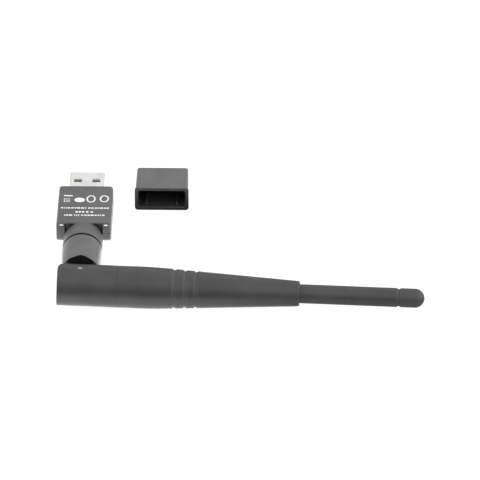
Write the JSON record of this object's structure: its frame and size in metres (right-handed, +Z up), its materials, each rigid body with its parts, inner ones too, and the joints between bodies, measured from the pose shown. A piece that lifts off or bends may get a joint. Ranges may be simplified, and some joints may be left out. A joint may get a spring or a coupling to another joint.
{
  "type": "usb wifi adapter",
  "caption": "Wireless network adapter: short black housing with a USB plug and loose cap, a turning collar and a hinged antenna with a tapered sleeve and slim whip, folded to one side.",
  "frame": {"origin": "centre of the USB plug's section, in the plane of the housing's front face", "axes": "+Y out of the plug, +X along the folded antenna (to the right seen from the antenna end), +Z up out of the housing's top face"},
  "size_m": [0.1222, 0.0808, 0.0149],
  "materials": {
    "plug_steel": "bright nickel-plated steel",
    "plug_insulator": "black moulded insulator",
    "contact_gilt": "gold-flashed copper alloy",
    "board_laminate": "solder-masked glass epoxy",
    "chip_epoxy": "moulded epoxy package",
    "crystal_lid": "plated can",
    "ferrite": "ferrite block",
    "capacitor_ceramic": "tan ceramic",
    "lead_jacket": "thin jacketed lead",
    "housing_plastic": "fine satin black moulding",
    "cap_plastic": "fine satin black moulding",
    "washer_steel": "spring steel",
    "swivel_plastic": "satin black moulding",
    "pin_steel": "plain steel",
    "antenna_plastic": "satin black moulding",
    "whip_rubber": "black elastomer",
    "element_brass": "drawn brass tube",
    "spacer_foam": "white foam ring",
    "wire_copper": "enamelled copper wire"
  },
  "bodies": {
    "adapter": {"usb_shell": "plug_steel", "usb_insulator": "plug_insulator", "usb_contact_power": "contact_gilt", "usb_contact_data_minus": "contact_gilt", "usb_contact_data_plus": "contact_gilt", "usb_contact_ground": "contact_gilt", "circuit_board": "board_laminate", "wifi_chip": "chip_epoxy", "crystal_can": "crystal_lid", "voltage_regulator": "chip_epoxy", "power_inductor": "ferrite", "ceramic_capacitors": "capacitor_ceramic", "coax_board_lead": "lead_jacket", "housing_top": "housing_plastic", "housing_bottom": "housing_plastic", "friction_washer": "washer_steel"},
    "swivel": {"swivel_collar": "swivel_plastic", "coax_swivel_lead": "lead_jacket"},
    "antenna": {"hinge_pin": "pin_steel", "antenna_knuckle": "antenna_plastic", "antenna_sleeve": "antenna_plastic", "whip_sheath": "whip_rubber", "tip_cap": "whip_rubber", "coax_antenna_lead": "lead_jacket", "choke_sleeve": "element_brass", "choke_spacer": "spacer_foam", "radiator_lower_wire": "wire_copper", "phasing_coil": "wire_copper", "radiator_upper_wire": "wire_copper"},
    "cap": {"cap_shell": "cap_plastic"}
  },
  "joints": [
    {"name": "swivel_turn", "type": "hinge", "parent": "adapter", "child": "swivel", "pos_m": [0, -0.034, 0], "axis": [0, 1, 0], "range_deg": [-184.2, 0]},
    {"name": "elbow_fold", "type": "hinge", "parent": "swivel", "child": "antenna", "pos_m": [0, -0.0559, 0], "axis": [0.0366, 0, 0.9993], "range_deg": [-90, 0]},
    {"name": "cap_carry", "type": "slide", "parent": "adapter", "child": "cap", "axis": [-0.7087, 0.6994, 0.0928], "range_m": [0, 0.03556]}
  ]
}
